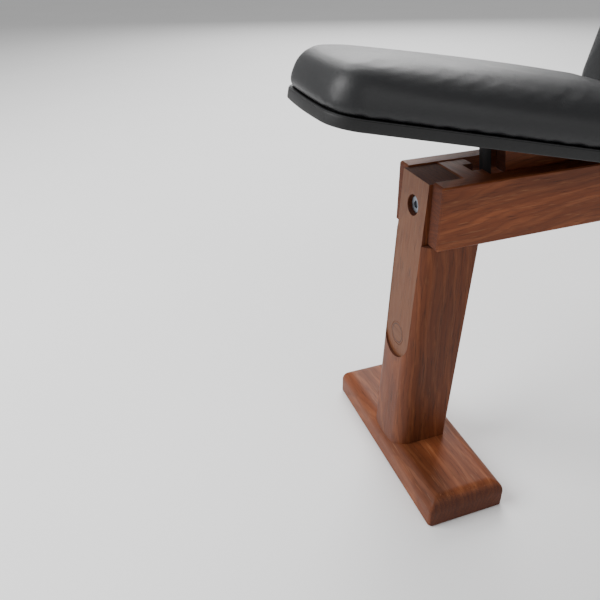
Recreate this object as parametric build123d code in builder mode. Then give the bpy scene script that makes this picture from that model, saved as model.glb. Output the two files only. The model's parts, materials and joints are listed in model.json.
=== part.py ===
from build123d import *
import os
from math import asin, cos, degrees, radians, sin, sqrt, tan

# Adjustable upholstered bench in hardwood. X runs from the seat end (-) to the head end (+), Y runs
# across, Z is up from the floor. The origin is on the floor under the middle of the bench.
# Millimetres throughout. The seat is raised on its prop and the back stands upright.

# ---------------------------------------------------------------- driving dimensions
# Two rails run the whole length, with a gap between them.
rail_length = 1010
rail_height = 70
rail_thickness = 18.5
rail_gap = 55
rail_top = 387.3
eased = 2.0  # broken edges of the sawn wood
outer_ease = 1.4  # on the rails' outer faces

# T legs: a leaning leg with a tongue between the rails, on a broad foot.
leg_depth = 65
leg_width = 75
leg_lean = 2.4  # degrees, foot outwards
leg_stand_out = 4.2  # tongue beyond the rails' ends
tongue_depth = 38.5
tongue_drop = 1.8  # tongue top below the rails' tops
leg_nose = 3.5  # crown of the leg's outer face
leg_corner = 19
facet_bottom = 160  # where the flat on the leg's outer face runs out
foot_width = 100
foot_height = 38
foot_reach = 26  # foot beyond the rails' ends
foot_roundover = 16  # of the foot's upper edges
foot_corner = 5
front_foot_length = 270
rear_foot_length = 420
pad_rubber = 2.0  # rubber under the feet
foot_pad_radius = 16
foot_pad_in = 28  # from the foot's end

# Cross blocks fill the gap behind each tongue.
block_start = 34.5
block_end = 70
prop_notch_width = 20
prop_notch_depth = 14
prop_notch_height = 23
leg_bolt_bore = 30  # into the block

# Seat and back share one pad build: board, foam core and cover. The seat narrows to its front.
pad_width = 260
seat_front_width = 137
board_thickness = 10
seat_cover_height = 46
back_cover_height = 37.6
cover_wall = 2.0
foam_gap = 0.3
seat_edge_round = 26
back_edge_round = 15
rest_gap = 3.1  # boards above the rails when flat
beam_width = 42
beam_depth = 42.4

seat_hinge_from_end = 262
seat_tilt = 11.1  # degrees, front raised
seat_front = -402.8
seat_rear = 5
seat_bow = 6  # how far the front edge bulges
seat_corner = 32
back_hinge_from_end = 344
back_angle = 78  # degrees from flat, upright
back_start = 20
back_bow = 4
back_end = 760
hinge_z = 368

# Props
prop_pivot = (-194, 9.95)  # along the seat from its hinge, and above the hinge
prop_lean = 9.4  # degrees, foot to the rear
prop_length = 80
prop_bar = 10.5
prop_thickness = 6
strut_pivot = 240  # from the back's hinge, along its beam
strut_length = 330
strut_bar = 20
strut_thickness = 4
cross_bar_radius = 5

# Hardware
hinge_radius = 5
hinge_head_radius = 9
hinge_head_height = 6
hinge_shank_past = 8  # beyond the far rail, into the nut
hinge_nut_height = 10
hinge_nut_bore = 8.2
hinge_washer_radius = 14
leg_bolt_radius = 5
leg_bolt = {"shank_radius": 4.95, "shank": 49, "head_radius": 8.8, "head": 3, "key": 4.5}
foot_bolt_radius = 4
foot_bolt = {"shank_radius": 4, "shank": 75, "head_radius": 7.5, "head": 6.5, "key": 4}
foot_bolt_sink = 9  # radius of the recess for its head
pad_bolt = {"shank_radius": 3, "head_radius": 5, "head": 5, "key": 2.5}
pad_bolt_grip = 6  # how far it enters its insert
fork_screw = {"shank_radius": 2, "shank": 22, "head_radius": 3.8, "head": 2.4, "key": 1.8}
socket_share = 0.6  # of a bolt head's height

# Clearances
running = 0.05  # radial, of a running fit
fixed = 0.25  # radial, of a bolt in its hole
snug = 0.02  # radial, of a pin or insert that stays put
let_in = 0.2  # of a block between the rails
end_gap = 0.3  # from a pin's end to the bottom of its hole
past = 10  # how far a cut runs beyond the wood
leg_bolt_z = 353.5
counterbore_radius = 11.5
counterbore_depth = 6.6
washer_thickness = 1.2
washer_radius = 10.8
plug_radius = 14.5
plug_depth = 4
plug_ease = 0.6
plug_height = 190
rack_base_height = 29
rack_crest_width = 36
insert_radius = 5
insert_length = 8
cover_inset = 1
insert_places = {"seat": (-70, -28), "back": (48, 200)}  # along each pad from its hinge

bumper_places = {"seat": (-150, -30), "back": (110, 400)}
bracket_thickness = 2.5
bracket_screw_along = -222
bracket_screw_places = (-8, 8)
bracket_screw_radius = 2
bracket_screw_depth = 7.5  # into the board
bracket_screw_head = 4
bracket_screw_head_height = 1.5
bracket_reach = 37  # of its plate, forward of the prop's pivot
bracket_width = 26
ear_inner = 3.3
ear_half = 6.4
prop_pin_radius = 3
pin_head = 1.2  # thickness and overhang of its riveted ends
prop_eye = 0.8  # how far its eye stands beyond the bar
prop_slot_width = 9
prop_slot_end = -92
tie_radius = 4
beam_recess = 8
beam_recess_radius = 6
bumper_radius = 6
bumper_gap = 0.3  # above the rail when the pad is flat
seat_beam_start = -187.5
seat_beam_end = 22
back_beam_start = -22
back_beam_past = 18  # beyond the strut's pivot
seat_rear_corner = 30
back_low_corner = 44
back_top_corner = 62
wheel_radius = 24
wheel_width = 20
wheel_reach = 29  # wheel centre behind the rear foot
wheel_z = 29
wheel_spread = 150
hub_radius = 16
axle_radius = 4
bracket_z = 12.5
fork_plate_width = 52
fork_plate_height = 19
fork_eye = 8
fork_screw_offset = 20
fork_screw_places = [
    side * wheel_spread + offset
    for side in (-1, 1)
    for offset in (-fork_screw_offset, fork_screw_offset)
]
axle_head = 2.5  # thickness and overhang of its ends
hub_rim = 2.5
hub_boss = 8  # the dished face's width
hub_dish = 3
tyre_round = 3

# ---------------------------------------------------------------- worked-out dimensions
rail_bottom = rail_top - rail_height
board_under = rail_top + rest_gap - hinge_z  # a board's underside above its hinge axis
pad_base = board_under + board_thickness
beam_under = board_under - beam_depth
back_tilt = -back_angle

# The rails' seat end stands where the bench's whole length, from the seat's front edge to the
# wheels, is centred on the origin.
seat_slope = radians(seat_tilt)
nose = seat_hinge_from_end + seat_front * cos(seat_slope) + board_under * sin(seat_slope)
tail = rail_length + foot_reach + wheel_reach + wheel_radius
front_end = -(nose + tail) / 2
rail_inner = rail_gap / 2
rail_outer = rail_inner + rail_thickness
rear_end = front_end + rail_length
seat_hinge_x = front_end + seat_hinge_from_end
back_hinge_x = front_end + back_hinge_from_end


# ---------------------------------------------------------------- planes
def pad_plane(hinge_x, tilt, height=0.0):
    """A pad's own plane, `height` above its hinge axis, with x running from seat end to head end."""
    along = (cos(radians(tilt)), 0, -sin(radians(tilt)))
    normal = (sin(radians(tilt)), 0, cos(radians(tilt)))
    return Plane(origin=(hinge_x, 0, hinge_z), x_dir=along, z_dir=normal).offset(height)


def pad_side(hinge_x, tilt, y=0.0):
    """The upright plane along a pad at `y`: x along the pad, y up from its hinge axis."""
    along = (cos(radians(tilt)), 0, -sin(radians(tilt)))
    return Plane(origin=(hinge_x, y, hinge_z), x_dir=along, z_dir=(0, -1, 0))


def pad_point(hinge_x, tilt, along, height):
    """Where a point of a pad's side plane stands, as (x, z)."""
    turn = radians(tilt)
    return (
        hinge_x + along * cos(turn) + height * sin(turn),
        hinge_z - along * sin(turn) + height * cos(turn),
    )


def pad_spot(hinge_x, tilt, along, height, y=0.0):
    """A small plane square to a pad at one spot of it."""
    plane = pad_plane(hinge_x, tilt)
    centre = plane.from_local_coords(Vector(along, y, height))
    return Plane(origin=centre, x_dir=plane.x_dir, z_dir=plane.z_dir)


def across(x, z, y=0.0):
    """A plane through (x, y, z) facing +Y, for what runs across the bench."""
    return Plane(origin=(x, y, z), x_dir=(1, 0, 0), z_dir=(0, 1, 0))


def lengthwise(x, y, z, direction=1):
    """A plane through (x, y, z) facing +X, or -X."""
    return Plane(origin=(x, y, z), x_dir=(0, direction, 0), z_dir=(direction, 0, 0))


# ---------------------------------------------------------------- shapes used many times
def rod(plane, radius, length, mode=Mode.ADD, both=False):
    """A round bar or hole from `plane` along its normal, in the part being built."""
    with BuildSketch(plane) as profile:
        Circle(radius)
    extrude(profile.sketch, amount=length, both=both, mode=mode)


def ring(plane, outer, inner, length):
    """A washer or bush from `plane` along its normal."""
    with BuildSketch(plane) as profile:
        Circle(outer)
        Circle(inner, mode=Mode.SUBTRACT)
    extrude(profile.sketch, amount=length)


def socket_bolt(plane, shank_radius, shank, head_radius, head, key=4.0):
    """A bolt whose head sits on `plane` and whose shank runs along its normal."""
    rod(plane, shank_radius, shank)
    rod(plane, head_radius, -head)
    with BuildSketch(plane.offset(-head)) as socket:
        RegularPolygon(key, 6)
    extrude(socket.sketch, amount=head * socket_share, mode=Mode.SUBTRACT)


def slab(plane, start, end, width, rise, corner=0.0):
    """A flat plate on `plane` from `start` to `end` along its x."""
    with BuildSketch(plane) as outline:
        with Locations(((start + end) / 2, 0)):
            Rectangle(end - start, width)
        if corner:
            fillet(outline.vertices(), corner)
    extrude(outline.sketch, amount=rise)


class Pad:
    """A pad's place and outline; start and end run along it from its hinge."""

    def __init__(self, name, hinge_x, tilt, span, widths, corners, bow, cover_height, edge_round):
        self.name = name
        self.hinge_x = hinge_x
        self.tilt = tilt
        self.start, self.end = span
        self.start_half, self.end_half = (width / 2 for width in widths)
        self.corners = corners
        self.bow = bow
        self.cover_height = cover_height
        self.edge_round = edge_round

    def body(self, height, inset, rise, edge_round=0.0):
        """A block with the pad's outline, `inset` all round, that stands `rise` high."""
        plane = pad_plane(self.hinge_x, self.tilt, height)
        corner = self.start + inset + self.bow
        far = self.end - inset
        low, high = self.start_half - inset, self.end_half - inset
        with BuildPart() as block:
            with BuildSketch(plane) as outline:
                with BuildLine():
                    Polyline((corner, low), (far, high), (far, -high), (corner, -low))
                    ThreePointArc((corner, -low), (self.start + inset, 0), (corner, low))
                make_face()
                ordered = outline.vertices().sort_by(Axis.X)
                fillet(ordered[:2], self.corners[0] - inset)
                fillet(outline.vertices().sort_by(Axis.X)[-2:], self.corners[1] - inset)
            extrude(amount=rise)
            if edge_round:
                top = block.faces().sort_by(Axis(plane.origin, plane.z_dir))[-1]
                fillet(top.edges(), edge_round)
        return block.part


def save(piece, name):
    """Labels a finished piece and writes it."""
    piece.label = name
    export_step(piece, f"parts/{name}.step")


os.makedirs("parts", exist_ok=True)


# ---------------------------------------------------------------- legs, feet and blocks
class End:
    """One end of the bench: `out` is -1 at the seat end and +1 at the head end."""

    def __init__(self, name, out, foot_length):
        self.name = name
        self.out = out
        self.foot_length = foot_length
        self.rail_end = front_end if out < 0 else rear_end

    def x(self, inward):
        """The x that lies `inward` of the rails' ends."""
        return self.rail_end - self.out * inward

    def leg_plane(self):
        """On the leg's outer face at the rails' undersides; x runs into the leg, z up it."""
        lean = radians(leg_lean)
        drop = tan(lean) * (rail_top - rail_bottom)
        return Plane(
            origin=(self.x(-leg_stand_out - drop), 0, rail_bottom),
            x_dir=(-self.out * cos(lean), 0, -sin(lean)),
            z_dir=(-self.out * sin(lean), 0, cos(lean)),
        )

    def foot_centre(self):
        return self.x(foot_width / 2 - foot_reach)


ends = [End("front", -1, front_foot_length), End("rear", 1, rear_foot_length)]
foot_bolt_spread = 20
foot_bolt_inward = 24  # foot bolts inward of the rails' ends
foot_bolt_recess = 10
foot_bolt_bore = 62  # into the leg
tongue_root = 12  # how far the tongue starts inside the leg
block_shy = 1  # blocks below the rails' tops
barrel_inward = 46
barrel_half_length = 15
barrel_bore_radius = 5
barrel_radius = 7
dowel_inward = 46
dowel_heights = (rail_bottom + 13, rail_top - 11)
dowel_radius = 5
dowel_start = 15.5
dowel_length = 24


def foot_body(end):
    """A foot's plain block, with its upper edges rounded over to mitred corners."""
    half_width, half_length = foot_width / 2, end.foot_length / 2
    centre = end.foot_centre()
    with BuildPart() as block:
        with BuildSketch(Plane.XY.offset(pad_rubber)):
            with Locations((centre, 0)):
                Rectangle(foot_width, end.foot_length)
        extrude(amount=foot_height - pad_rubber)
        fillet(block.faces().sort_by(Axis.Z)[-1].edges(), foot_roundover)
        corners = [
            edge
            for edge in block.edges()
            if abs(edge.center().X - centre) > half_width - foot_roundover
            and abs(edge.center().Y) > half_length - foot_roundover
        ]
        fillet(corners, foot_corner)
    return block.part


def make_leg(end):
    plane = end.leg_plane()
    with BuildPart() as leg:
        # The leg proper, with a crowned outer face and rounded outer corners.
        with BuildSketch(plane) as section:
            half = leg_width / 2
            with BuildLine():
                Polyline((0, half), (leg_depth, half), (leg_depth, -half), (0, -half))
                ThreePointArc((0, -half), (-leg_nose, 0), (0, half))
            make_face()
            fillet(section.vertices().sort_by(Axis.X)[:2], leg_corner)
            fillet(section.vertices().sort_by(Axis.X)[-2:], eased)
        extrude(amount=rail_bottom, both=True)
        split(bisect_by=Plane.XY.offset(rail_bottom), keep=Keep.BOTTOM)
        # It is scribed to the foot, whose rounded edge it overhangs.
        split(bisect_by=Plane.XY.offset(foot_height - foot_roundover / 2), keep=Keep.TOP)
        add(foot_body(end), mode=Mode.SUBTRACT)
        # The flat on its outer face, as wide as the gap between the rails, with a round lower end.
        face = Plane(origin=plane.origin, x_dir=plane.y_dir, z_dir=plane.x_dir * -1)
        flat_radius = rail_inner - let_in
        run = rail_bottom - facet_bottom - flat_radius
        with BuildSketch(face):
            with Locations((0, run / 2)):
                Rectangle(2 * flat_radius, run)
            with Locations((0, run)):
                Circle(flat_radius)
            with Locations((0, -past)):
                Rectangle(2 * flat_radius, 2 * past)
        extrude(amount=leg_nose * 2, mode=Mode.SUBTRACT)
        # The tongue between the rails.
        with BuildSketch(plane.offset(-tongue_root)):
            with Locations((tongue_depth / 2, 0)):
                Rectangle(tongue_depth, 2 * flat_radius)
        extrude(amount=tongue_root + rail_height + past)
        split(bisect_by=Plane.XY.offset(rail_top - tongue_drop), keep=Keep.BOTTOM)
        # The counterbored hole through the tongue, and the holes for the foot's bolts.
        start = lengthwise(end.x(-leg_stand_out - past), 0, leg_bolt_z, -end.out)
        rod(start, counterbore_radius, past + counterbore_depth, Mode.SUBTRACT)
        rod(start, leg_bolt_radius + fixed, leg_depth + past, Mode.SUBTRACT)
        for y in (-foot_bolt_spread, foot_bolt_spread):
            floor = foot_bolt_plane(end, y, foot_height - 1)
            rod(floor, foot_bolt_radius + fixed, foot_bolt_bore, Mode.SUBTRACT)
        if end.out < 0:
            rod(plug_plane(end), plug_radius + running, -plug_depth, Mode.SUBTRACT)
    return leg.part


def plug_plane(end):
    """On the flat of a leg's outer face, at the plug's centre, facing out."""
    plane = end.leg_plane()
    drop = (rail_bottom - plug_height) / cos(radians(leg_lean))
    centre = plane.from_local_coords(Vector(0, 0, -drop))
    return Plane(origin=centre, x_dir=plane.y_dir, z_dir=plane.x_dir * -1)


def foot_bolt_plane(end, y, z):
    return Plane(origin=(end.x(foot_bolt_inward), y, z))


def make_foot(end):
    with BuildPart() as foot:
        add(foot_body(end))
        for y in (-foot_bolt_spread, foot_bolt_spread):
            under = foot_bolt_plane(end, y, 0)
            rod(under, foot_bolt_sink, foot_bolt_recess, Mode.SUBTRACT)
            rod(under, foot_bolt_radius + fixed, foot_height, Mode.SUBTRACT)
        if end.out > 0:
            for y in fork_screw_places:
                back_face = lengthwise(end.x(-foot_reach), y, bracket_z, -1)
                rod(back_face, fork_screw["shank_radius"] + running, 25, Mode.SUBTRACT)
    return foot.part


def make_block(end):
    with BuildPart() as block:
        with BuildSketch(Plane.XY.offset(rail_bottom)):
            with Locations(((end.x(block_start) + end.x(block_end)) / 2, 0)):
                Rectangle(block_end - block_start, rail_gap - let_in)
        extrude(amount=rail_height - block_shy)
        outer_top = block.edges().filter_by(Axis.Y).group_by(Axis.Z)[-1]
        chamfer(outer_top, eased)
        if end.out < 0:
            # A notch that takes the seat prop and its bracket when the seat is down.
            with BuildSketch(Plane.XY.offset(rail_top - block_shy)):
                with Locations((end.x(block_end - prop_notch_depth / 2), 0)):
                    Rectangle(prop_notch_depth, prop_notch_width)
            extrude(amount=-prop_notch_height, mode=Mode.SUBTRACT)
        start = lengthwise(end.x(block_start - 1), 0, leg_bolt_z, -end.out)
        rod(start, leg_bolt_radius + fixed, leg_bolt_bore, Mode.SUBTRACT)
        barrel_plane = across(end.x(barrel_inward), leg_bolt_z)
        rod(barrel_plane, barrel_radius + fixed, rail_gap / 2, Mode.SUBTRACT, both=True)
        for z in dowel_heights:
            for y in (-rail_inner - 1, dowel_start - end_gap):
                depth = rail_inner + 1 - dowel_start + end_gap
                rod(across(end.x(dowel_inward), z, y), dowel_radius, depth, Mode.SUBTRACT)
    return block.part


for end in ends:
    save(make_leg(end), f"{end.name}_leg")
    save(make_foot(end), f"{end.name}_foot")
    save(make_block(end), f"{end.name}_block")
    with BuildPart() as foot_pads:
        for y in (-1, 1):
            place = Plane(origin=(end.foot_centre(), y * (end.foot_length / 2 - foot_pad_in), 0))
            rod(place, foot_pad_radius, pad_rubber)
    save(foot_pads.part, f"{end.name}_foot_pads")

# ---------------------------------------------------------------- rails
pin_hole_depth = 10
rest_pin_radius = 5
open_pivot_gap = 1.4  # the prop stands just clear of its pin


def strut_foot(angle):
    """How far from its hinge the back's strut stands when the back is `angle` degrees from flat."""
    rise = strut_pivot * sin(radians(angle))
    return strut_pivot * cos(radians(angle)) + sqrt(strut_length**2 - rise**2)


def strut_slope(angle):
    """The strut's slope below level, in degrees, at that angle."""
    return degrees(asin(strut_pivot * sin(radians(angle)) / strut_length))


prop_x, prop_z = pad_point(seat_hinge_x, seat_tilt, *prop_pivot)
prop_reach = prop_length + rest_pin_radius + open_pivot_gap
rest_pin_x = prop_x + prop_reach * sin(radians(prop_lean))
rest_pin_z = prop_z - prop_reach * cos(radians(prop_lean))
rack_notches = [strut_foot(angle) for angle in (78, 66, 54, 42, 30, 15, 0)]
notch_rise = 0.4  # the notches' centres below the bar's
rack_start = back_hinge_x + rack_notches[0] - 14
rack_end = back_hinge_x + rack_notches[-1] + 18
rack_bottom = rail_bottom + 4
rack_screws_at = (rack_start + 30, rack_end - 30)
rack_screw_z = rail_bottom + 18
rack_screw_radius = 2.45
rack_screw_head = 5.3
rack_screw_sink = 3.8  # its head starts this deep in the rail
rack_screw_head_height = 3
rack_screw_length = 35
rack_top = hinge_z - cross_bar_radius + notch_rise
hinges = {"seat": seat_hinge_x, "back": back_hinge_x}


def make_rail(side):
    """A rail on the -Y side (side -1) or the +Y side (side +1)."""
    with BuildPart() as rail:
        with BuildSketch(Plane.XY.offset(rail_bottom)):
            with Locations(((front_end + rear_end) / 2, side * (rail_inner + rail_outer) / 2)):
                Rectangle(rail_length, rail_thickness)
        extrude(amount=rail_height)
        chamfer(rail.edges().filter_by(Axis.Y), eased)
        outer = rail.faces().sort_by(Axis.Y)[0 if side < 0 else -1]
        chamfer(outer.edges(), outer_ease)
        bores = [(hinge_x, hinge_z, hinge_radius + fixed) for hinge_x in hinges.values()]
        bores += [(x, rack_screw_z, rack_screw_radius + fixed) for x in rack_screws_at]
        for x, z, radius in bores:
            rod(across(x, z), radius, rail_outer + past, Mode.SUBTRACT, both=True)
        rest = across(rest_pin_x, rest_pin_z)
        rod(rest, rest_pin_radius, rail_inner + pin_hole_depth, Mode.SUBTRACT, both=True)
        for end in ends:
            for z in dowel_heights:
                hole = across(end.x(dowel_inward), z, side * (dowel_start + dowel_length / 2))
                rod(hole, dowel_radius, dowel_length / 2, Mode.SUBTRACT, both=True)
        for x in rack_screws_at:
            outside = Plane(origin=(x, side * rail_outer, rack_screw_z), z_dir=(0, side, 0))
            rod(outside, rack_screw_head + snug, -rack_screw_sink - snug, Mode.SUBTRACT)
    return rail.part


save(make_rail(-1), "near_rail")
save(make_rail(1), "far_rail")

with BuildPart() as rack:
    # A notched bar on a wider base that fills the gap; the strut's arms pass beside the bar.
    rack_middle = (rack_start + rack_end) / 2
    base = (rail_gap - let_in, rack_base_height)
    crest = (rack_crest_width, rack_top - rack_bottom)
    for width, height in (base, crest):
        with BuildSketch(Plane.XY.offset(rack_bottom)):
            with Locations((rack_middle, 0)):
                Rectangle(rack_end - rack_start, width)
        extrude(amount=height)
    bores = [
        (back_hinge_x + notch, hinge_z - notch_rise, cross_bar_radius + notch_rise)
        for notch in rack_notches
    ]
    bores += [(x, rack_screw_z, rack_screw_radius + running) for x in rack_screws_at]
    for x, z, radius in bores:
        rod(across(x, z), radius, rail_inner, Mode.SUBTRACT, both=True)
save(rack.part, "back_rack")

with BuildPart() as rack_screws:
    for x in rack_screws_at:
        for side in (-1, 1):
            outside = Plane(origin=(x, side * rail_outer, rack_screw_z), z_dir=(0, side, 0))
            rod(outside.offset(-rack_screw_sink), rack_screw_head, rack_screw_head_height)
            tip = outside.offset(-rack_screw_sink - rack_screw_length)
            rod(tip, rack_screw_radius, rack_screw_length)
save(rack_screws.part, "rack_screws")

with BuildPart() as rest_pin:
    half_length = rail_inner + pin_hole_depth - end_gap
    rod(across(rest_pin_x, rest_pin_z), rest_pin_radius - snug, half_length, both=True)
save(rest_pin.part, "prop_rest_pin")

with BuildPart() as dowels:
    for end in ends:
        for z in dowel_heights:
            for y in (-dowel_start - dowel_length, dowel_start):
                place = across(end.x(dowel_inward), z, y)
                rod(place, dowel_radius - running, dowel_length - end_gap)
save(dowels.part, "rail_dowels")

with BuildPart() as leg_bolts:
    for end in ends:
        seat = end.x(counterbore_depth - leg_stand_out - washer_thickness)
        socket_bolt(lengthwise(seat, 0, leg_bolt_z, -end.out), **leg_bolt)
save(leg_bolts.part, "leg_bolts")

with BuildPart() as leg_washers:
    for end in ends:
        floor = end.x(counterbore_depth - leg_stand_out)
        bore = leg_bolt_radius + fixed
        ring(lengthwise(floor, 0, leg_bolt_z, end.out), washer_radius, bore, washer_thickness)
save(leg_washers.part, "leg_bolt_washers")

with BuildPart() as barrel_nuts:
    for end in ends:
        rod(across(end.x(barrel_inward), leg_bolt_z), barrel_radius, barrel_half_length, both=True)
        through = lengthwise(end.x(barrel_inward - past), 0, leg_bolt_z, -end.out)
        rod(through, barrel_bore_radius, 2 * past, Mode.SUBTRACT)
save(barrel_nuts.part, "barrel_nuts")

with BuildPart() as foot_bolts:
    for end in ends:
        for y in (-foot_bolt_spread, foot_bolt_spread):
            socket_bolt(foot_bolt_plane(end, y, foot_bolt_recess), **foot_bolt)
save(foot_bolts.part, "foot_bolts")

with BuildPart() as plug:
    rod(plug_plane(ends[0]), plug_radius, -plug_depth)
    chamfer(plug.faces().sort_by(Axis.X)[0].edges(), plug_ease)
save(plug.part, "leg_plug")

# ---------------------------------------------------------------- hinges between rails and beams
for name, hinge_x in hinges.items():
    with BuildPart() as bolt:
        start = across(hinge_x, hinge_z, -rail_outer)
        shank = 2 * rail_outer + hinge_shank_past
        socket_bolt(start, hinge_radius, shank, hinge_head_radius, hinge_head_height)
    save(bolt.part, f"{name}_hinge_bolt")
    with BuildPart() as nut:
        outside = across(hinge_x, hinge_z, rail_outer)
        with BuildSketch(outside):
            RegularPolygon(hinge_head_radius, 6)
        extrude(amount=hinge_nut_height)
        rod(outside, hinge_radius + snug, hinge_nut_bore, Mode.SUBTRACT)
    save(nut.part, f"{name}_hinge_nut")
    with BuildPart() as washers:
        thickness = rail_inner - beam_width / 2 - 2 * let_in
        for y in (-rail_inner + let_in, beam_width / 2 + let_in):
            bore = hinge_radius + fixed
            ring(across(hinge_x, hinge_z, y), hinge_washer_radius, bore, thickness)
    save(washers.part, f"{name}_hinge_washers")


# ---------------------------------------------------------------- pads
def make_pad(pad):
    """Board, foam core and stitched cover of a pad, lying along its own plane."""

    def under_board(along, y=0.0):
        return pad_spot(pad.hinge_x, pad.tilt, along, board_under, y)

    with BuildPart() as board:
        add(pad.body(board_under, 0, board_thickness))
        for along in insert_places[pad.name]:
            rod(under_board(along), insert_radius, insert_length, Mode.SUBTRACT)
        if pad.name == "seat":
            for y in bracket_screw_places:
                hole = bracket_screw_radius + snug
                rod(under_board(bracket_screw_along, y), hole, bracket_screw_depth, Mode.SUBTRACT)
    save(board.part, f"{pad.name}_board")
    with BuildPart() as inserts:
        for along in insert_places[pad.name]:
            bore = pad_bolt["shank_radius"] + running
            ring(under_board(along), insert_radius - snug, bore, insert_length)
    save(inserts.part, f"{pad.name}_inserts")
    wall = cover_inset + cover_wall
    core = wall + foam_gap
    with BuildPart() as cover:
        add(pad.body(pad_base, cover_inset, pad.cover_height, pad.edge_round))
        cavity = pad.body(pad_base, wall, pad.cover_height - cover_wall, pad.edge_round - cover_wall)
        add(cavity, mode=Mode.SUBTRACT)
    save(cover.part, f"{pad.name}_cover")
    core_height = pad.cover_height - cover_wall - foam_gap
    foam = pad.body(pad_base, core, core_height, pad.edge_round - cover_wall - foam_gap)
    save(foam, f"{pad.name}_foam")


def make_beam(pad, start, end, slant):
    """The wooden beam under a pad; `slant` cuts its first end back towards its underside."""
    name, hinge_x, tilt = pad.name, pad.hinge_x, pad.tilt
    side = pad_side(hinge_x, tilt)
    outline = [
        (start, board_under),
        (end, board_under),
        (end, beam_under),
        (start + slant, beam_under),
    ]
    with BuildPart() as beam:
        with BuildSketch(side):
            Polygon(*outline, align=None)
        extrude(amount=beam_width / 2, both=True)
        lower = beam.faces().sort_by(Axis(side.origin, side.y_dir))[0]
        chamfer(lower.edges(), eased)
        rod(side, hinge_radius + running, beam_width, Mode.SUBTRACT, both=True)
        for along in insert_places[name]:
            place = pad_spot(hinge_x, tilt, along, beam_under)
            rod(place, pad_bolt["shank_radius"] + fixed, beam_depth, Mode.SUBTRACT)
            rod(place, beam_recess_radius, beam_recess, Mode.SUBTRACT)
        if name == "seat":
            # The seat beam is forked so that the prop can fold up inside it.
            with BuildSketch(pad_plane(hinge_x, tilt, beam_under)):
                with Locations(((start + prop_slot_end) / 2, 0)):
                    Rectangle(prop_slot_end - start + 2, prop_slot_width)
            extrude(amount=beam_depth, mode=Mode.SUBTRACT)
        else:
            with BuildSketch(side):
                with Locations((strut_pivot, 0)):
                    Circle(hinge_radius + snug)
            extrude(amount=beam_width, mode=Mode.SUBTRACT, both=True)
    save(beam.part, f"{name}_beam")
    with BuildPart() as bolts:
        for along in insert_places[name]:
            place = pad_spot(hinge_x, tilt, along, beam_under + beam_recess)
            socket_bolt(place, shank=beam_depth - beam_recess + pad_bolt_grip, **pad_bolt)
    save(bolts.part, f"{name}_bolts")
    with BuildPart() as bumpers:
        for along in bumper_places[name]:
            for side_y in (-1, 1):
                y = side_y * (rail_inner + rail_outer) / 2
                place = pad_spot(hinge_x, tilt, along, board_under, y)
                rod(place, bumper_radius, bumper_gap - rest_gap)
    save(bumpers.part, f"{name}_bumpers")


seat_pad = Pad(
    name="seat",
    hinge_x=seat_hinge_x,
    tilt=seat_tilt,
    span=(seat_front, seat_rear),
    widths=(seat_front_width, pad_width),
    corners=(seat_corner, seat_rear_corner),
    bow=seat_bow,
    cover_height=seat_cover_height,
    edge_round=seat_edge_round,
)
back_pad = Pad(
    name="back",
    hinge_x=back_hinge_x,
    tilt=back_tilt,
    span=(back_start, back_end),
    widths=(pad_width, pad_width),
    corners=(back_low_corner, back_top_corner),
    bow=back_bow,
    cover_height=back_cover_height,
    edge_round=back_edge_round,
)
make_pad(seat_pad)
make_pad(back_pad)
beam_slant = beam_depth * tan(radians(seat_tilt + prop_lean))
make_beam(seat_pad, seat_beam_start, seat_beam_end, beam_slant)
make_beam(back_pad, back_beam_start, strut_pivot + back_beam_past, 0)

# ---------------------------------------------------------------- seat prop
def bracket_screw_plane(y):
    """On the bracket's underside at a screw."""
    height = board_under - bracket_thickness
    return pad_spot(seat_hinge_x, seat_tilt, bracket_screw_along, height, y)


with BuildPart() as bracket:
    # A plate under the board with two ears for the prop's pin.
    plate = pad_plane(seat_hinge_x, seat_tilt, board_under - bracket_thickness)
    plate_ends = (prop_pivot[0] - bracket_reach, prop_pivot[0] + ear_half)
    slab(plate, *plate_ends, bracket_width, bracket_thickness)
    for y in (ear_inner + bracket_thickness, -ear_inner):
        ear = pad_side(seat_hinge_x, seat_tilt, y)
        rise = board_under - bracket_thickness - prop_pivot[1]
        with BuildSketch(ear):
            with Locations(prop_pivot):
                Circle(ear_half)
            with Locations((prop_pivot[0], prop_pivot[1] + rise / 2)):
                Rectangle(2 * ear_half, rise)
            with Locations(prop_pivot):
                Circle(prop_pin_radius + snug, mode=Mode.SUBTRACT)
        extrude(amount=bracket_thickness)
    for y in bracket_screw_places:
        place = bracket_screw_plane(y)
        rod(place, bracket_screw_radius + running, bracket_thickness, Mode.SUBTRACT)
        sink = bracket_screw_head_height + running
        rod(place, bracket_screw_head + running, sink, Mode.SUBTRACT)
save(bracket.part, "prop_bracket")

with BuildPart() as bracket_screws:
    for y in bracket_screw_places:
        rod(bracket_screw_plane(y), bracket_screw_head, bracket_screw_head_height)
        length = bracket_thickness + bracket_screw_depth - end_gap
        rod(bracket_screw_plane(y), bracket_screw_radius, length)
save(bracket_screws.part, "bracket_screws")

with BuildPart() as prop_pin:
    reach = ear_inner + bracket_thickness
    rod(across(prop_x, prop_z), prop_pin_radius, reach + let_in, both=True)
    for y in (-reach - let_in - pin_head, reach + let_in):
        rod(across(prop_x, prop_z, y), prop_pin_radius + pin_head, pin_head)
save(prop_pin.part, "prop_pin")

with BuildPart() as prop:
    along = (sin(radians(prop_lean)), 0, -cos(radians(prop_lean)))
    reach = prop_length - prop_bar / 2
    with BuildSketch(Plane(origin=(prop_x, 0, prop_z), x_dir=along, z_dir=(0, -1, 0))):
        with Locations((reach / 2, 0)):
            Rectangle(reach, prop_bar)
        Circle(prop_bar / 2 + prop_eye)
        with Locations((reach, 0)):
            Circle(prop_bar / 2)
        Circle(prop_pin_radius + running, mode=Mode.SUBTRACT)
    extrude(amount=prop_thickness / 2, both=True)
save(prop.part, "seat_prop")

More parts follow.
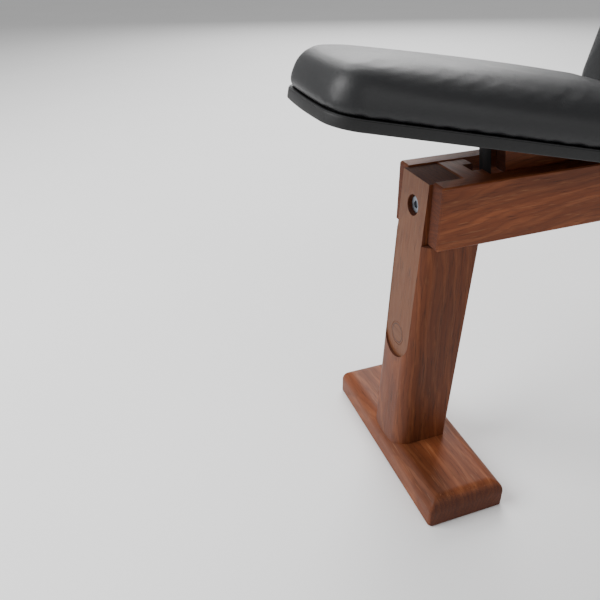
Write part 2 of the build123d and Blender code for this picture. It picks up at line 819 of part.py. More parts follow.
# ---------------------------------------------------------------- back strut
strut_x, strut_z = pad_point(back_hinge_x, back_tilt, strut_pivot, 0)
strut_foot_x = back_hinge_x + rack_notches[0]
arm_inner = beam_width / 2 + 2 * let_in
strut_middle = strut_length / 2
slope = radians(strut_slope(back_angle))
bar_half_length = rail_inner - 1

for name, y in (("near", -arm_inner), ("far", arm_inner + strut_thickness)):
    with BuildPart() as arm:
        plane = Plane(
            origin=(strut_x, y, strut_z), x_dir=(cos(slope), 0, -sin(slope)), z_dir=(0, -1, 0)
        )
        with BuildSketch(plane):
            with Locations((strut_middle, 0)):
                Rectangle(strut_length, strut_bar)
            with Locations((0, 0), (strut_length, 0)):
                Circle(strut_bar / 2)
            Circle(hinge_radius + running, mode=Mode.SUBTRACT)
            with Locations((strut_length, 0)):
                Circle(cross_bar_radius + snug, mode=Mode.SUBTRACT)
            with Locations((strut_middle, 0)):
                Circle(tie_radius + snug, mode=Mode.SUBTRACT)
        extrude(amount=strut_thickness)
    save(arm.part, f"{name}_strut_arm")

with BuildPart() as cross_bar:
    rod(across(strut_foot_x, hinge_z), cross_bar_radius, bar_half_length, both=True)
save(cross_bar.part, "strut_cross_bar")

with BuildPart() as tie:
    middle = across((strut_x + strut_foot_x) / 2, (strut_z + hinge_z) / 2)
    rod(middle, tie_radius, bar_half_length, both=True)
save(tie.part, "strut_tie")

with BuildPart() as strut_pin:
    rod(across(strut_x, strut_z), hinge_radius, bar_half_length, both=True)
save(strut_pin.part, "strut_pivot_pin")

# ---------------------------------------------------------------- transport wheels
foot_back = rear_end + foot_reach
wheel_x = foot_back + wheel_reach

for name, y in (("near", -wheel_spread), ("far", wheel_spread)):
    ear_y = wheel_width / 2 + 2
    with BuildPart() as fork:
        with BuildSketch(lengthwise(foot_back, y, bracket_z)):
            Rectangle(fork_plate_width, fork_plate_height)
        extrude(amount=bracket_thickness)
        for ear in (y - ear_y, y + ear_y + bracket_thickness):
            with BuildSketch(Plane(origin=(foot_back, ear, 0), x_dir=(1, 0, 0), z_dir=(0, -1, 0))):
                low, high = wheel_z - fork_eye, wheel_z + fork_eye
                root_low = bracket_z - fork_plate_height / 2 + 1
                root_high = bracket_z + fork_plate_height / 2
                Polygon(
                    (0, root_low), (wheel_reach, low), (wheel_reach, high), (0, root_high), align=None
                )
                with Locations((wheel_reach, wheel_z)):
                    Circle(fork_eye)
                    Circle(axle_radius + snug, mode=Mode.SUBTRACT)
            extrude(amount=bracket_thickness)
        for screw in (-fork_screw_offset, fork_screw_offset):
            hole = lengthwise(foot_back, y + screw, bracket_z)
            rod(hole, fork_screw["shank_radius"] + running, bracket_thickness, Mode.SUBTRACT)
    save(fork.part, f"{name}_wheel_fork")
    with BuildPart() as axle:
        reach = ear_y + bracket_thickness
        rod(across(wheel_x, wheel_z, y), axle_radius, reach, both=True)
        for head in (y - reach - axle_head, y + reach):
            rod(across(wheel_x, wheel_z, head), axle_radius + axle_head, axle_head)
    save(axle.part, f"{name}_wheel_axle")
    with BuildPart() as hub:
        rod(across(wheel_x, wheel_z, y), hub_radius, wheel_width / 2, both=True)
        for face in (y - wheel_width / 2, y + wheel_width / 2 - hub_dish):
            ring_plane = across(wheel_x, wheel_z, face)
            with BuildSketch(ring_plane):
                Circle(hub_radius - hub_rim)
                Circle(hub_radius - hub_boss, mode=Mode.SUBTRACT)
            extrude(amount=hub_dish, mode=Mode.SUBTRACT)
        rod(across(wheel_x, wheel_z, y), axle_radius + running, wheel_width, Mode.SUBTRACT, both=True)
    save(hub.part, f"{name}_wheel_hub")
    with BuildPart() as tyre:
        side_face = across(wheel_x, wheel_z, y - wheel_width / 2)
        ring(side_face, wheel_radius, hub_radius + snug, wheel_width)
        fillet(tyre.edges().filter_by(GeomType.CIRCLE).group_by(SortBy.RADIUS)[-1], tyre_round)
    save(tyre.part, f"{name}_wheel_tyre")

with BuildPart() as fork_screws:
    for y in fork_screw_places:
        socket_bolt(lengthwise(foot_back + bracket_thickness, y, bracket_z, -1), **fork_screw)
save(fork_screws.part, "fork_screws")
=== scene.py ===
import json
from math import atan2, cos, pi, radians, sin

import bmesh
import bpy
from mathutils import Matrix, Vector


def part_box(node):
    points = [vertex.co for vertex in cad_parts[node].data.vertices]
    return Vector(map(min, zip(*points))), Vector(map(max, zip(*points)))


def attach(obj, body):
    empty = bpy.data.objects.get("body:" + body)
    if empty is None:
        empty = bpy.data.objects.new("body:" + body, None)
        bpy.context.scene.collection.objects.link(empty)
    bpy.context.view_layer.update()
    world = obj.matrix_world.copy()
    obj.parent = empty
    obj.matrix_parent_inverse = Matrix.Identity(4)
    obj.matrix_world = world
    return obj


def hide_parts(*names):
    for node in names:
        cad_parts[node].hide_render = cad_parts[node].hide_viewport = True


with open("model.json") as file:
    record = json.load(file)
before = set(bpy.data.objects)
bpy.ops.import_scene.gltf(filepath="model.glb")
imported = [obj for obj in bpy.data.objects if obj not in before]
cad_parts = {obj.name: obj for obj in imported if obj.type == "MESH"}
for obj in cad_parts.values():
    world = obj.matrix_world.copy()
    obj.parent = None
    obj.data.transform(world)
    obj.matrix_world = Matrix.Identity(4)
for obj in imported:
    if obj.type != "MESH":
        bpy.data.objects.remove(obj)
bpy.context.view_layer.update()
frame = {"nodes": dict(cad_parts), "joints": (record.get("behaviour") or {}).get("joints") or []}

# An adjustable hardwood bench with a padded seat and back. Metres, in the CAD frame: +X from the
# seat end to the head end, +Z up, the floor at z = 0.

SEAT_TILT, BACK_TILT = 11.1, -78  # degrees at rest, front raised

# A pad's side and top: insets from its board's outline, and heights above the board
GROOVE = 0.0014  # inset of the groove above the board
BELLY = 0.0002  # inset of the side where it leaves the groove
BULGE = 0.0012  # how far the side swells out from there
FULL_SIDE = 0.008  # height at which it is fullest
CROWN = 0.0035  # rise of the top inside the shoulders
CROWN_STEPS = ((0.012, 0.45), (0.028, 0.78), (0.050, 0.95), (0.075, 1.0))  # inset, share of it
CORNER_LIMIT = 0.024  # deepest even inset, inside the corners' radius
SPINE_START, SPINE_END = 0.09, 0.11  # in from the pad's ends
SKIN_SIZE = 0.004  # of the remeshed skin's faces
HELD_HEIGHT = 0.004  # the skin below this is fixed to the board
PRESSURE = 1.2
FOAM_SWELL = 0.004  # how far the simulated covers may swell

# The cover drawn down round a board's edge
SKIN = 0.0008  # its thickness over the board
LIP = 0.0014  # radius of its two edges
TURN_IN = 0.016  # how far it goes in under the board

joints = {joint["name"]: joint for joint in frame["joints"]}
rail_low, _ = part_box("near_rail")


# ---------------------------------------------------------------- material helpers
class Shader:
    """A material's node tree, with short calls for the nodes used here."""

    def __init__(self, name, **settings):
        self.material = bpy.data.materials.new(name)
        self.material.use_nodes = True
        self.tree = self.material.node_tree
        self.bsdf = self.tree.nodes["Principled BSDF"]
        for setting, value in settings.items():
            socket = setting.replace("_", " ").title().replace("Ior", "IOR")
            self.bsdf.inputs[socket].default_value = value

    def node(self, kind, inputs=(), **settings):
        node = self.tree.nodes.new(kind)
        for name, value in settings.items():
            setattr(node, name, value)
        for socket, value in dict(inputs).items():
            if isinstance(value, bpy.types.NodeSocket):
                self.tree.links.new(value, node.inputs[socket])
            else:
                node.inputs[socket].default_value = value
        return node

    def place(self):
        """Position in the CAD frame at rest."""
        return self.node("ShaderNodeTexCoord").outputs["Object"]

    def normal(self):
        """The surface's direction in the CAD frame at rest."""
        return self.node("ShaderNodeTexCoord").outputs["Normal"]

    def stretched(self, scale, offset=(0, 0, 0), turn=(0, 0, 0), source=None):
        mapping = self.node("ShaderNodeMapping", {"Vector": source or self.place()})
        mapping.inputs["Scale"].default_value = scale
        mapping.inputs["Location"].default_value = offset
        mapping.inputs["Rotation"].default_value = turn
        return mapping.outputs["Vector"]

    def noise(self, vector, scale, detail=3.0, roughness=0.5, distortion=0.0):
        inputs = {
            "Vector": vector,
            "Scale": scale,
            "Detail": detail,
            "Roughness": roughness,
            "Distortion": distortion,
        }
        return self.node("ShaderNodeTexNoise", inputs).outputs["Fac"]

    def ramp(self, factor, stops):
        """A colour ramp; each stop is (place, grey or colour)."""
        node = self.node("ShaderNodeValToRGB", {"Fac": factor})
        ramp = node.color_ramp
        while len(ramp.elements) < len(stops):
            ramp.elements.new(0.5)
        for element, (place, colour) in zip(ramp.elements, stops):
            element.position = place
            if isinstance(colour, (int, float)):
                colour = (colour, colour, colour)
            element.color = (*colour, 1)
        return node.outputs["Color"]

    def mix(self, factor, first, second, blend="MIX"):
        """A mix of two colours, each a socket or a constant."""
        node = self.node("ShaderNodeMix", data_type="RGBA", blend_type=blend)
        for index, value in ((0, factor), (6, first), (7, second)):
            if isinstance(value, bpy.types.NodeSocket):
                self.tree.links.new(value, node.inputs[index])
            elif index == 0:
                node.inputs[index].default_value = value
            else:
                node.inputs[index].default_value = (*value, 1)
        return node.outputs[2]

    def math(self, operation, first, second=0.0):
        node = self.node("ShaderNodeMath", operation=operation)
        for index, value in enumerate((first, second)):
            if isinstance(value, bpy.types.NodeSocket):
                self.tree.links.new(value, node.inputs[index])
            else:
                node.inputs[index].default_value = value
        return node.outputs[0]

    def range(self, factor, low, high):
        """Maps 0..1 onto low..high."""
        inputs = {"Value": factor, "To Min": low, "To Max": high}
        return self.node("ShaderNodeMapRange", inputs).outputs["Result"]

    def bump(self, height, strength, distance, below=None):
        inputs = {"Height": height, "Strength": strength, "Distance": distance}
        if below:
            inputs["Normal"] = below
        return self.node("ShaderNodeBump", inputs).outputs["Normal"]

    def finish(self, colour=None, roughness=None, normal=None):
        for socket, value in (("Base Color", colour), ("Roughness", roughness), ("Normal", normal)):
            if value is not None:
                self.tree.links.new(value, self.bsdf.inputs[socket])
        return self.material


# ---------------------------------------------------------------- materials
WOOD_DARK = (0.038, 0.011, 0.005)
WOOD_MID = (0.125, 0.036, 0.014)
WOOD_LIGHT = (0.215, 0.074, 0.032)
WOOD_PALE = (0.250, 0.120, 0.063)
# Painted light: the paler colour of the flat on a leg's outer face.
WOOD_LIT_FLAT = (0.190, 0.098, 0.054)
WOOD_END = (0.046, 0.017, 0.013)
GRAIN_ORDER = {"X": ("Y", "Z", "X"), "Y": ("X", "Z", "Y"), "Z": ("X", "Y", "Z")}
FLAT_HALF, FLAT_FOOT = 0.0274, 0.160  # the planed flat on a leg's outer face
RING_RADIUS, RING_LINE = 0.0118, 0.0009  # on the leg's plug
PEBBLE = 0.0011  # size of the leather's cells

# Each kind of board has its own tone; the legs' darker tone is painted shade.
RAIL_TONE = (1.24, 1.10, 0.88)
LEG_SHADED_TONE = (0.77, 0.67, 0.52)
FOOT_TONE = (1.26, 1.20, 1.08)


def wood(name, grain, seed, pith=(0.11, 0.06), tone=RAIL_TONE, planed=False, burnt=None):
    """Oiled open-grained hardwood with its grain along an axis of the CAD frame."""
    s = Shader(name, specular_ior_level=0.22)
    split = s.node("ShaderNodeSeparateXYZ", {"Vector": s.place()})
    order = GRAIN_ORDER[grain]
    inputs = {axis: split.outputs[source] for axis, source in zip("XYZ", order)}
    board = s.node("ShaderNodeCombineXYZ", inputs).outputs["Vector"]

    # Growth rings about a pith beside the board, wandering along the grain.
    wander = s.noise(s.stretched((1, 1, 0.30), (seed, 0, 0), source=board), 9, 3, 0.55)
    wavy = s.noise(s.stretched((1, 1, 0.06), (0, seed, 0), source=board), 60, 4, 0.6)
    offset = (pith[0], pith[1], 0.2 * seed)
    around = s.stretched((1, 1, 1), offset, (radians(6), radians(4), 0), source=board)
    shift = s.math("MULTIPLY", s.math("SUBTRACT", wander, 0.5), 0.060)
    shift = s.math("ADD", shift, s.math("MULTIPLY", s.math("SUBTRACT", wavy, 0.5), 0.012))
    moved = s.node("ShaderNodeVectorMath", {0: around, 1: shift}, operation="ADD").outputs[0]
    inputs = {"Vector": moved, "Scale": 62, "Distortion": 0.8, "Detail": 3, "Detail Scale": 1.7}
    about_pith = {"wave_type": "RINGS", "rings_direction": "Z"}
    rings = s.node("ShaderNodeTexWave", inputs, **about_pith, wave_profile="SAW")
    bands = rings.outputs["Fac"]
    inputs = {"Vector": moved, "Scale": 11, "Distortion": 2.2, "Detail": 3, "Detail Scale": 1.4}
    zones = s.node("ShaderNodeTexWave", inputs, **about_pith).outputs["Fac"]

    fibre = s.noise(s.stretched((1, 1, 0.018), (seed, 1, 0), source=board), 420, 4, 0.6)
    patches = s.noise(s.stretched((1, 1, 0.16), (0, 0, seed), source=board), 22, 3, 0.5)
    pores = s.noise(s.stretched((1, 1, 0.045), (3, seed, 0), source=board), 760, 2, 0.5)
    glints = s.noise(s.stretched((1, 1, 0.06), (seed, 7, 2), source=board), 640, 2, 0.5)

    heart = s.ramp(zones, [(0.10, WOOD_MID), (0.55, WOOD_LIGHT), (0.90, WOOD_MID)])
    lined = s.mix(s.ramp(bands, [(0.55, 0.0), (0.93, 0.5), (1.0, 0.1)]), heart, WOOD_DARK)
    streaks = s.mix(s.range(fibre, 0.15, 0.75), lined, WOOD_MID)
    shade = s.ramp(patches, [(0.30, 0.62), (0.48, 0.95), (0.70, 1.25)])
    coloured = s.mix(1.0, streaks, shade, "MULTIPLY")
    if planed:
        # The flat on the outer face, with a round lower end, painted paler: painted light on the
        # face turned to the light.
        across, up = split.outputs["Y"], split.outputs["Z"]
        below = s.math("MINIMUM", s.math("SUBTRACT", up, FLAT_FOOT + FLAT_HALF), 0.0)
        squares = (s.math("MULTIPLY", part, part) for part in (across, below))
        reach = s.math("SQRT", s.math("ADD", *squares))
        facing = s.node("ShaderNodeSeparateXYZ", {"Vector": s.normal()}).outputs["X"]
        outer = s.ramp(s.math("ABSOLUTE", facing), [(0.93, 0.0), (0.985, 1.0)])
        inside = s.math("SUBTRACT", 1.0, s.math("GREATER_THAN", reach, FLAT_HALF))
        lit_flat_colour = s.mix(s.range(fibre, 0.2, 0.8), WOOD_LIT_FLAT, WOOD_MID)
        lit_flat_colour = s.mix(s.ramp(bands, [(0.55, 0.0), (0.95, 0.28)]), lit_flat_colour, WOOD_MID)
        on_flat = s.math("MULTIPLY", s.math("MULTIPLY", outer, inside), 0.85)
        coloured = s.mix(on_flat, coloured, lit_flat_colour)
    flecks = s.ramp(pores, [(0.58, 1.0), (0.68, 0.50)])
    coloured = s.mix(0.8, coloured, flecks, "MULTIPLY")
    coloured = s.mix(s.ramp(glints, [(0.62, 0.0), (0.72, 0.35)]), coloured, WOOD_PALE)
    coloured = s.mix(1.0, coloured, tone, "MULTIPLY")
    if burnt:
        # A plain scorched ring just inside the plug's edge.
        apart = s.node("ShaderNodeVectorMath", {0: s.place(), 1: burnt}, operation="DISTANCE")
        off_line = s.math("ABSOLUTE", s.math("SUBTRACT", apart.outputs["Value"], RING_RADIUS))
        scorch = s.ramp(s.math("DIVIDE", off_line, RING_LINE), [(0.6, 0.85), (1.0, 0.0)])
        coloured = s.mix(scorch, coloured, WOOD_DARK)

    # End grain drinks more oil, so it is darker and greyer.
    facing = s.node("ShaderNodeSeparateXYZ", {"Vector": s.normal()}).outputs[grain]
    end = s.ramp(s.math("ABSOLUTE", facing), [(0.55, 0.0), (0.80, 1.0)])
    speckle = s.noise(s.stretched((1, 1, 1), (seed, 0, 0), source=board), 1100, 3, 0.6)
    end_colour = s.mix(s.ramp(speckle, [(0.35, 0.0), (0.65, 0.8)]), WOOD_END, WOOD_MID)
    end_colour = s.mix(s.ramp(bands, [(0.3, 0.0), (0.95, 0.6)]), end_colour, WOOD_END)
    coloured = s.mix(s.math("MULTIPLY", end, 0.85), coloured, end_colour)

    rough = s.math("ADD", s.range(fibre, 0.38, 0.60), s.math("MULTIPLY", end, 0.3))
    raised = s.bump(fibre, 0.15, 0.0003)
    raised = s.bump(s.ramp(pores, [(0.60, 1.0), (0.72, 0.0)]), 0.30, 0.0003, raised)
    return s.finish(coloured, rough, raised)


def scaled(colour, factor):
    """A colour made lighter or darker."""
    return [min(1, part * factor) for part in colour]


def leather(name, colour, gloss):
    """Soft upholstery leather, with pebbled cells, fine creases and slow changes of sheen."""
    s = Shader(name, specular_ior_level=0.42)
    place = s.place()
    warp = s.noise(place, 260, 2, 0.5)
    shift = s.math("MULTIPLY", warp, 0.0016)
    bent = s.node("ShaderNodeVectorMath", {0: place, 1: shift}, operation="ADD")
    inputs = {"Vector": bent.outputs[0], "Scale": 1 / PEBBLE, "Randomness": 0.95}
    cells = s.node("ShaderNodeTexVoronoi", inputs, feature="DISTANCE_TO_EDGE").outputs["Distance"]
    pebbles = s.ramp(cells, [(0.0, 0.0), (0.16, 0.75), (0.5, 1.0)])
    creases = s.noise(s.stretched((1, 2.2, 1)), 70, 4, 0.6, 0.4)
    cloud = s.noise(place, 6, 3, 0.5)
    tone = s.mix(s.range(cloud, 0.15, 0.85), scaled(colour, 0.86), scaled(colour, 1.14))
    # Painted shade: the colour darkened in the grooves between the pebbles.
    tone = s.mix(0.35, tone, s.ramp(cells, [(0.0, 0.35), (0.2, 1.0)]), "MULTIPLY")
    worn = s.noise(place, 18, 4, 0.6)
    rough = s.range(worn, gloss - 0.06, gloss + 0.10)
    raised = s.bump(pebbles, 0.22, 0.0003)
    raised = s.bump(creases, 0.10, 0.0012, raised)
    return s.finish(tone, rough, raised)


def metal(name, colour, roughness, metallic=1.0, scale=300):
    """Steel: finely scratched, with a slow change of sheen."""
    s = Shader(name, metallic=metallic)
    scratches = s.noise(s.place(), scale, 4, 0.6)
    cloud = s.noise(s.place(), 30, 3, 0.5)
    tone = s.mix(s.range(cloud, 0.0, 1.0), scaled(colour, 0.82), scaled(colour, 1.15))
    rough = s.range(scratches, roughness - 0.08, roughness + 0.10)
    return s.finish(tone, rough, s.bump(scratches, 0.10, 0.0002))


def moulded(name, colour, roughness, grain=900, depth=0.0002):
    """Rubber and plastics, with a fine moulded texture."""
    s = Shader(name)
    fine = s.noise(s.place(), grain, 3, 0.6)
    cloud = s.noise(s.place(), 24, 3, 0.5)
    tone = s.mix(s.range(cloud, 0.0, 1.0), scaled(colour, 0.85), scaled(colour, 1.2))
    rough = s.range(cloud, roughness - 0.05, roughness + 0.08)
    return s.finish(tone, rough, s.bump(fine, 0.25, depth))


def paint(node, material):
    """Gives a CAD node its material."""
    slots = frame["nodes"][node].data.materials
    slots.clear()
    slots.append(material)


GRAINS = {
    "near_rail": "X",
    "far_rail": "X",
    "front_leg": "Z",
    "rear_leg": "Z",
    "front_foot": "Y",
    "rear_foot": "Y",
    "seat_beam": "X",
    "back_beam": "Z",
    "front_block": "Y",
    "rear_block": "Y",
    "back_rack": "X",
    "rail_dowels": "Y",
}
for number, (node, grain) in enumerate(GRAINS.items()):
    pith = (0.07 + 0.02 * (number % 3), 0.05 + 0.015 * (number % 4))
    planed = node.endswith("_leg")
    # The legs take the darker tone of painted shade.
    tone = LEG_SHADED_TONE if planed else FOOT_TONE if node.endswith("_foot") else RAIL_TONE
    paint(node, wood(f"oiled_wood_{node}", grain, 1.7 * number + 0.6, pith, tone, planed))
plug_low, plug_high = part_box("leg_plug")
plug_middle = (plug_low + plug_high) / 2
# The plug takes the legs' painted shade and the flat's painted light.
paint("leg_plug", wood("oiled_wood_plug", "Y", 5.3, tone=LEG_SHADED_TONE, planed=True, burnt=plug_middle))

leather_black = leather("seat_leather", (0.0125, 0.013, 0.0142), gloss=0.40)
edge_black = leather("edge_leather", (0.0055, 0.0056, 0.0060), gloss=0.52)
board_black = leather("board_leather", (0.016, 0.016, 0.017), gloss=0.5)
black_steel = metal("powder_coated_steel", (0.022, 0.022, 0.024), 0.45, 0.0, scale=1400)
zinc_steel = metal("zinc_steel", (0.20, 0.22, 0.25), 0.36)
dark_steel = metal("blackened_steel", (0.10, 0.10, 0.105), 0.38)
black_rubber = moulded("black_rubber", (0.030, 0.030, 0.030), 0.75)
nylon = moulded("nylon", (0.62, 0.60, 0.55), 0.45)
hub_plastic = moulded("hub_plastic", (0.07, 0.07, 0.075), 0.42, 1500)
tread = moulded("wheel_tread", (0.035, 0.035, 0.036), 0.62, 700)
foam = moulded("foam", (0.55, 0.52, 0.45), 0.9, 500, 0.0006)

PAINTED_STEEL = """
    seat_prop prop_bracket prop_pin prop_rest_pin near_strut_arm far_strut_arm strut_cross_bar
    strut_tie strut_pivot_pin near_wheel_fork far_wheel_fork
"""
PLATED_STEEL = """
    leg_bolts leg_bolt_washers barrel_nuts foot_bolts seat_inserts back_inserts near_wheel_axle
    far_wheel_axle
"""
BLACKENED_STEEL = """
    rack_screws bracket_screws fork_screws seat_bolts back_bolts seat_hinge_bolt seat_hinge_nut
    back_hinge_bolt back_hinge_nut
"""
FINISHES = [
    (board_black, "seat_board back_board"),
    (black_steel, PAINTED_STEEL),
    (zinc_steel, PLATED_STEEL),
    (dark_steel, BLACKENED_STEEL),
    (nylon, "seat_hinge_washers back_hinge_washers"),
    (black_rubber, "front_foot_pads rear_foot_pads seat_bumpers back_bumpers"),
    (hub_plastic, "near_wheel_hub far_wheel_hub"),
    (tread, "near_wheel_tyre far_wheel_tyre"),
    (foam, "seat_foam back_foam"),
    (leather_black, "seat_cover back_cover"),
]
for material, nodes in FINISHES:
    for node in nodes.split():
        paint(node, material)


# ---------------------------------------------------------------- pads
def smooth(piece):
    """Shades a piece's faces as one curved skin."""
    for polygon in piece.data.polygons:
        polygon.use_smooth = True


def outline_of(node, matrix, count=240):
    """The outline of a flat pad board: evenly spaced points round it, and the way out at each."""
    inverse = matrix.inverted()
    corners = [inverse @ v.co for v in frame["nodes"][node].data.vertices]
    top = max(p.z for p in corners)
    flat = {(round(p.x, 6), round(p.y, 6)) for p in corners if top - p.z < 1e-4}
    flat = [Vector(place) for place in flat]
    middle = sum(flat, Vector((0, 0))) / len(flat)
    flat.sort(key=lambda p: atan2(p.y - middle.y, p.x - middle.x))
    steps = [(b - a).length for a, b in zip(flat, flat[1:] + flat[:1])]
    total, points, walked, index = sum(steps), [], 0.0, 0
    for k in range(count):
        wanted = total * k / count
        while walked + steps[index] < wanted:
            walked += steps[index]
            index += 1
        share = (wanted - walked) / steps[index]
        points.append(flat[index].lerp(flat[(index + 1) % len(flat)], share))
    outward = []
    for before, after in zip(points[-2:] + points[:-2], points[2:] + points[:2]):
        run = after - before
        outward.append(Vector((run.y, -run.x)).normalized())
    return points, outward


def inset_ring(points, outward, inset, spine):
    """The outline drawn in by `inset`; past CORNER_LIMIT it closes on the spine instead."""
    straight = min(inset, CORNER_LIMIT)
    ring = [p - n * straight for p, n in zip(points, outward)]
    if inset <= straight:
        return ring
    start, end = spine
    half = max(abs(p.y) for p in ring)
    closer = (inset - straight) / half
    return [p.lerp(Vector((min(max(p.x, start), end), 0)), closer) for p in ring]


def pad_matrix(joint, tilt):
    """From a pad's own axes (along it, across it, away from its board) to the CAD frame."""
    turn = radians(tilt)
    along = Vector((cos(turn), 0, -sin(turn)))
    normal = Vector((sin(turn), 0, cos(turn)))
    across = normal.cross(along)
    axes = Matrix((along, across, normal)).transposed().to_4x4()
    return Matrix.Translation(Vector(joints[joint]["pos_m"])) @ axes


def pad_span(node, matrix):
    """A CAD node's lowest and highest corners in a pad's own axes."""
    inverse = matrix.inverted()
    points = [inverse @ v.co for v in frame["nodes"][node].data.vertices]
    low = Vector([min(p[i] for p in points) for i in range(3)])
    high = Vector([max(p[i] for p in points) for i in range(3)])
    return low, high


def added(name, mesh):
    """A smooth-shaded piece made of a finished bmesh."""
    bmesh.ops.recalc_face_normals(mesh, faces=mesh.faces)
    data = bpy.data.meshes.new(name)
    mesh.to_mesh(data)
    mesh.free()
    piece = bpy.data.objects.new(name, data)
    bpy.context.scene.collection.objects.link(piece)
    smooth(piece)
    return piece


def bridge(mesh, first, second):
    """Quads between two rings of vertices."""
    for k in range(len(first)):
        following = (k + 1) % len(first)
        mesh.faces.new((first[k], first[following], second[following], second[k]))


def lofted(name, rings, matrix):
    """A closed skin through rings of (points, height), with flat ends."""
    mesh = bmesh.new()
    rows = [[mesh.verts.new(matrix @ Vector((x, y, h))) for x, y in points] for points, h in rings]
    for lower, upper in zip(rows, rows[1:]):
        bridge(mesh, lower, upper)
    mesh.faces.new(list(reversed(rows[0])))
    mesh.faces.new(rows[-1])
    return added(name, mesh)


def activate(piece):
    """Makes a piece the only one selected, as operators need."""
    bpy.ops.object.select_all(action="DESELECT")
    piece.select_set(True)
    bpy.context.view_layer.objects.active = piece


def remesh(piece, size):
    """Rebuilds a piece's skin in even faces of about `size`."""
    activate(piece)
    modifier = piece.modifiers.new("remesh", "REMESH")
    modifier.mode = "VOXEL"
    modifier.voxel_size = size
    bpy.ops.object.modifier_apply(modifier="remesh")


def puff(piece, floor_height, matrix):
    """Swells a cover by cloth simulation, capped, with its base held to the board."""
    rest = [v.co.copy() for v in piece.data.vertices]
    inverse = matrix.inverted()
    held = piece.vertex_groups.new(name="held")
    for vertex in piece.data.vertices:
        height = (inverse @ vertex.co).z - floor_height
        if height < HELD_HEIGHT:
            held.add([vertex.index], 1.0, "ADD")
    cloth = piece.modifiers.new("cloth", "CLOTH")
    cloth.settings.quality = 4
    cloth.settings.mass = 0.4
    cloth.settings.tension_stiffness = 25
    cloth.settings.compression_stiffness = 25
    cloth.settings.shear_stiffness = 10
    cloth.settings.bending_stiffness = 4
    cloth.settings.vertex_group_mass = "held"
    cloth.settings.use_pressure = True
    cloth.settings.uniform_pressure_force = PRESSURE
    cloth.settings.effector_weights.gravity = 0
    scene = bpy.context.scene
    for step in range(1, 21):
        scene.frame_set(step)
    activate(piece)
    bpy.ops.object.modifier_apply(modifier="cloth")
    scene.frame_set(1)
    for vertex, start in zip(piece.data.vertices, rest):
        move = vertex.co - start
        if move.length > FOAM_SWELL:
            vertex.co = start + move * (FOAM_SWELL / move.length)


def relax(piece):
    """Evens out the small steps that remeshing leaves."""
    mesh = bmesh.new()
    mesh.from_mesh(piece.data)
    axes = {"use_axis_x": True, "use_axis_y": True, "use_axis_z": True}
    bmesh.ops.smooth_vert(mesh, verts=mesh.verts, factor=0.5, **axes)
    mesh.to_mesh(piece.data)
    mesh.free()


def quarter_turn(steps):
    """Angles from 0 to 90 degrees."""
    return [pi / 2 * k / steps for k in range(steps + 1)]


def upholster(name, joint, tilt, edge):
    """The padded cover of the seat or the back, in the space that its CAD solid holds.

    `edge` is the radius of its shoulders.
    """
    matrix = pad_matrix(joint, tilt)
    low, high = pad_span(f"{name}_cover", matrix)
    height = high.z - low.z
    points, outward = outline_of(f"{name}_board", matrix)
    start, end = min(p.x for p in points), max(p.x for p in points)
    spine = (start + SPINE_START, end - SPINE_END)
    # From the groove above the board, out to the belly of the side, then over the shoulder.
    shoulder = height - CROWN - edge
    profile = [(GROOVE, 0.0004), (BELLY, 0.0022), (BELLY - BULGE, FULL_SIDE)]
    profile.append((BELLY - 0.0010, (FULL_SIDE + shoulder) / 2))
    for angle in quarter_turn(8):
        profile.append((BELLY + edge * (1 - cos(angle)), shoulder + edge * sin(angle)))
    for further, share in CROWN_STEPS:
        profile.append((BELLY + edge + further, height - CROWN + CROWN * share))
    rings = [
        (inset_ring(points, outward, inset, spine), low.z + rise) for inset, rise in profile
    ]
    piece = lofted(f"{name}_pad", rings, matrix)
    remesh(piece, SKIN_SIZE)
    relax(piece)
    puff(piece, low.z, matrix)
    relax(piece)
    activate(piece)
    subdivision = piece.modifiers.new("subdivision", "SUBSURF")
    subdivision.levels = subdivision.render_levels = 1
    bpy.ops.object.modifier_apply(modifier="subdivision")
    smooth(piece)
    piece.data.materials.append(leather_black)
    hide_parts(f"{name}_cover", f"{name}_foam")
    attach(piece, name)
    wrap_edge(name, matrix, points, outward, low.z)


def wrap_edge(name, matrix, points, outward, top):
    """The cover drawn round the board's edge and under it, below the groove."""
    board_low, _ = pad_span(f"{name}_board", matrix)
    thickness = top - board_low.z
    # From the groove, over the upper lip, down the edge, round the lower lip and in underneath.
    section = [(0.0050, thickness + 0.0001), (LIP * 0.4, thickness + 0.0001)]
    for angle in quarter_turn(4):
        fall = LIP * (1 - cos(angle)) + 0.0004
        section.append((LIP * (1 - sin(angle)) - SKIN, thickness - fall))
    for angle in quarter_turn(4):
        section.append((LIP * (1 - cos(angle)) - SKIN, LIP * (1 - sin(angle)) - SKIN))
    section += [(TURN_IN, -SKIN), (TURN_IN, 0.0004), (0.0050, 0.0010)]
    mesh = bmesh.new()
    loops = []
    for inset, rise in section:
        places = [p - n * inset for p, n in zip(points, outward)]
        height = board_low.z + rise
        loops.append([mesh.verts.new(matrix @ Vector((x, y, height))) for x, y in places])
    for first, second in zip(loops, loops[1:] + loops[:1]):
        bridge(mesh, first, second)
    wrap = added(f"{name}_edge_wrap", mesh)
    wrap.data.materials.append(edge_black)
    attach(wrap, name)


upholster("seat", "seat_tilt", SEAT_TILT, edge=0.030)
upholster("back", "back_recline", BACK_TILT, edge=0.017)

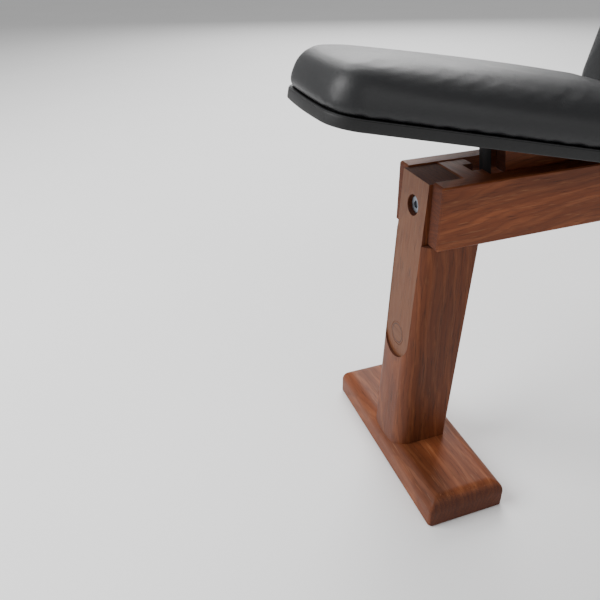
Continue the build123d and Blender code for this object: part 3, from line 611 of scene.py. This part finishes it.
# ---------------------------------------------------------------- floor, light and camera
FLOOR_SIZE = 60
bpy.ops.mesh.primitive_plane_add(size=FLOOR_SIZE)
floor = bpy.context.object
floor.name = "floor"
pale = Shader("pale_floor")
tint = pale.noise(pale.place(), 3, 2, 0.5)
pale.finish(pale.mix(pale.range(tint, 0.0, 1.0), (0.90, 0.90, 0.90), (0.94, 0.94, 0.94)))
pale.bsdf.inputs["Roughness"].default_value = 0.9
floor.data.materials.append(pale.material)

world = bpy.data.worlds.new("studio")
world.use_nodes = True
background = world.node_tree.nodes["Background"]
background.inputs["Color"].default_value = (1, 1, 1, 1)
background.inputs["Strength"].default_value = 0.42
bpy.context.scene.world = world


def softbox(name, place, aim, size, power):
    """A square area light at `place` that faces `aim`; size in metres, power in watts."""
    data = bpy.data.lights.new(name, "AREA")
    data.size = size
    data.energy = power
    light = bpy.data.objects.new(name, data)
    light.location = place
    light.visible_camera = False
    light.rotation_euler = (Vector(aim) - Vector(place)).to_track_quat("-Z", "Y").to_euler()
    bpy.context.scene.collection.objects.link(light)


middle = Vector((rail_low.x + 0.1, 0, 0.35))
softbox("key", middle + Vector((-1.9, 0.3, 1.4)), middle, 1.5, 62)
softbox("front", middle + Vector((0.5, -2.4, 1.2)), middle, 1.8, 16)
softbox("top", middle + Vector((0.5, 1.5, 1.9)), middle, 1.7, 40)
softbox("behind", middle + Vector((1.3, 3.0, 1.6)), middle, 2.4, 66)

# The camera stands at the seat end, to the bench's near side, and looks down along it.
PITCH, YAW, ROLL = radians(31.84), radians(18.42), radians(-1.43)
LENS = 36.494  # mm
forward = Vector((sin(YAW) * cos(PITCH), cos(YAW) * cos(PITCH), -sin(PITCH)))
right = Vector((cos(YAW), -sin(YAW), 0))
up = right.cross(forward)
level_right = right * cos(ROLL) + up * sin(ROLL)
level_up = up * cos(ROLL) - right * sin(ROLL)
camera_data = bpy.data.cameras.new("camera")
camera_data.lens = LENS
camera_data.clip_start = 0.02
camera = bpy.data.objects.new("camera", camera_data)
turn = Matrix((level_right, level_up, -forward)).transposed().to_4x4()
stand = Vector((rail_low.x - 0.3116, -0.5315, 0.6114))
camera.matrix_world = Matrix.Translation(stand) @ turn
bpy.context.scene.collection.objects.link(camera)
bpy.context.scene.camera = camera
